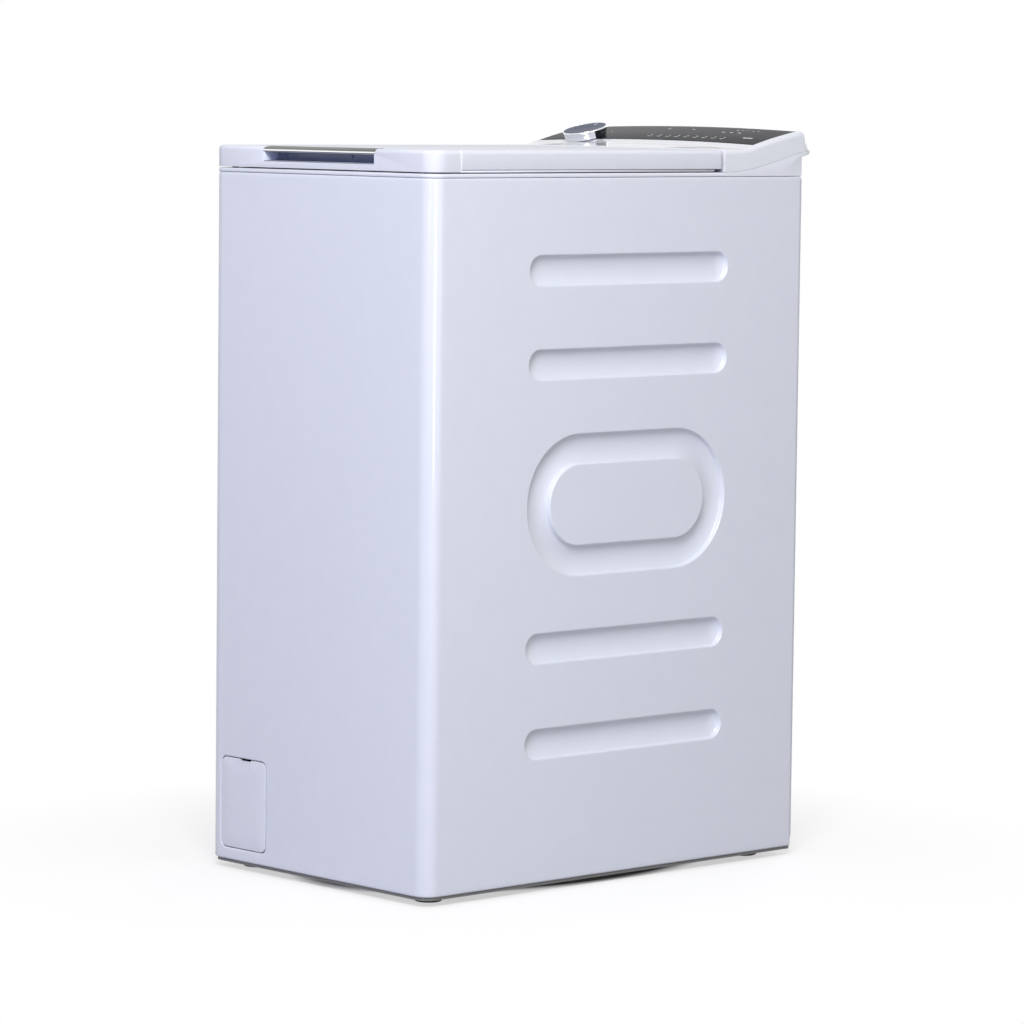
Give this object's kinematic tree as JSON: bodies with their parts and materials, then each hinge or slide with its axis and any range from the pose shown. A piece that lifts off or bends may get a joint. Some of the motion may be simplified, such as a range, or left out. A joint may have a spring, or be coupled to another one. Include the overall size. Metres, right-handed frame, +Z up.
{
  "type": "top load washing machine",
  "caption": "Slim free-standing top loading washing machine with a sideways drum, hinged lid, rear control console and filter flap.",
  "frame": {"origin": "centre of the footprint's bounding box, on the floor", "axes": "+X to the right seen from the front, +Y from the front to the rear, +Z up"},
  "size_m": [0.4, 0.6246, 0.9102],
  "materials": {
    "white_paint": "smooth semi-gloss powder paint",
    "white_plastic": "moulded, satin gloss",
    "grey_plastic": "fine moulded texture",
    "dark_plastic": "fine moulded texture",
    "tub_plastic": "filled polypropylene, matte",
    "dark_glass": "dark gloss touch panel",
    "chrome": "bright plated",
    "brushed_metal": "brushed, clear coated",
    "steel": "plain stainless sheet",
    "zinc": "zinc plated",
    "rubber": "soft matte",
    "concrete": "cast, rough",
    "cast_aluminium": "die cast, matte",
    "circuit_board": "lacquered board"
  },
  "bodies": {
    "cabinet": {"cabinet_wrap": "white_paint", "rear_panel": "white_paint", "service_cover": "white_paint", "base_pan": "grey_plastic", "tub_left": "tub_plastic", "tub_right": "tub_plastic", "heater": "steel", "bellows": "rubber", "bearing_left": "steel", "bearing_right": "steel", "drive_belt": "rubber", "motor_housing": "cast_aluminium", "counterweight_front": "concrete", "counterweight_rear": "concrete", "spring_front_left": "zinc", "spring_front_right": "zinc", "spring_rear_left": "zinc", "spring_rear_right": "zinc", "damper_cylinder_front": "dark_plastic", "damper_cylinder_rear": "dark_plastic", "damper_rod_front": "zinc", "damper_rod_rear": "zinc", "drain_pump": "tub_plastic", "sump_hose": "rubber", "top_frame": "white_plastic", "buffer_left": "rubber", "buffer_right": "rubber", "lid_lock": "dark_plastic", "console_shell": "white_plastic", "control_glass": "dark_glass", "control_board": "circuit_board", "hinge_pin_left": "zinc", "hinge_pin_right": "zinc", "inlet_valve": "tub_plastic", "cable_gland": "dark_plastic", "drain_outlet": "grey_plastic"},
    "lid": {"lid_shell": "white_plastic", "lid_liner": "white_plastic", "handle_cup": "dark_plastic", "handle_trim": "brushed_metal", "dispenser": "tub_plastic"},
    "dial": {"programme_dial": "chrome"},
    "drum": {"drum_shell": "steel", "drum_end_left": "steel", "drum_end_right": "steel", "lifter_front": "tub_plastic", "lifter_rear": "tub_plastic", "shaft_left": "cast_aluminium", "shaft_right": "cast_aluminium", "drum_pulley": "cast_aluminium"},
    "rotor": {"rotor": "steel"},
    "hatch_flap_front": {"hatch_flap_front": "steel"},
    "hatch_flap_rear": {"hatch_flap_rear": "steel"},
    "hatch_button": {"hatch_button": "tub_plastic"},
    "filter_flap": {"filter_flap": "white_plastic"},
    "filter_cap": {"filter_cap": "dark_plastic"},
    "foot_front_left": {"foot_front_left": "dark_plastic"},
    "foot_front_right": {"foot_front_right": "dark_plastic"},
    "foot_rear_left": {"foot_rear_left": "dark_plastic"},
    "foot_rear_right": {"foot_rear_right": "dark_plastic"}
  },
  "joints": [
    {"name": "lid_hinge", "type": "hinge", "parent": "cabinet", "child": "lid", "pos_m": [0, 0.1522, 0.8725], "axis": [1, 0, 0], "range_deg": [-100, 0]},
    {"name": "dial_turn", "type": "hinge", "parent": "cabinet", "child": "dial", "pos_m": [-0.11, 0.2257, 0.89048], "axis": [0, -0.2587, 0.9659], "continuous": true},
    {"name": "rotor_spin", "type": "hinge", "parent": "cabinet", "child": "rotor", "pos_m": [-0.05, 0.11558, 0.11793], "axis": [1, 0, 0], "continuous": true},
    {"name": "drum_spin", "type": "hinge", "parent": "cabinet", "child": "drum", "pos_m": [0, -0.0373, 0.43], "axis": [1, 0, 0], "continuous": true},
    {"name": "hatch_front_hinge", "type": "hinge", "parent": "drum", "child": "hatch_flap_front", "pos_m": [0, -0.13174, 0.63532], "axis": [-1, 0, 0], "range_deg": [-77, 0]},
    {"name": "hatch_rear_hinge", "type": "hinge", "parent": "drum", "child": "hatch_flap_rear", "pos_m": [0, 0.05714, 0.63532], "axis": [1, 0, 0], "range_deg": [-77, 0]},
    {"name": "hatch_button_press", "type": "slide", "parent": "hatch_flap_front", "child": "hatch_button", "axis": [0, 0, -1], "range_m": [0, 0.003], "stiffness_N_per_m": 300},
    {"name": "filter_flap_hinge", "type": "hinge", "parent": "cabinet", "child": "filter_flap", "pos_m": [-0.134, -0.3089, 0.0365], "axis": [-1, 0, 0], "range_deg": [-90, 0]},
    {"name": "filter_cap_turn", "type": "hinge", "parent": "cabinet", "child": "filter_cap", "pos_m": [-0.134, -0.2823, 0.082], "axis": [0, -1, 0], "range_deg": [0, 90]},
    {"name": "foot_front_left_screw", "type": "hinge", "parent": "cabinet", "child": "foot_front_left", "pos_m": [-0.158, -0.2703, 0.008], "axis": [0, 0, 1], "continuous": true},
    {"name": "foot_front_right_screw", "type": "hinge", "parent": "cabinet", "child": "foot_front_right", "pos_m": [0.158, -0.2703, 0.008], "axis": [0, 0, 1], "continuous": true},
    {"name": "foot_rear_left_screw", "type": "hinge", "parent": "cabinet", "child": "foot_rear_left", "pos_m": [-0.158, 0.2577, 0.008], "axis": [0, 0, 1], "continuous": true},
    {"name": "foot_rear_right_screw", "type": "hinge", "parent": "cabinet", "child": "foot_rear_right", "pos_m": [0.158, 0.2577, 0.008], "axis": [0, 0, 1], "continuous": true}
  ],
  "couplings": [
    {"joint": "drum_spin", "follows": "rotor_spin", "ratio": 0.090909}
  ]
}
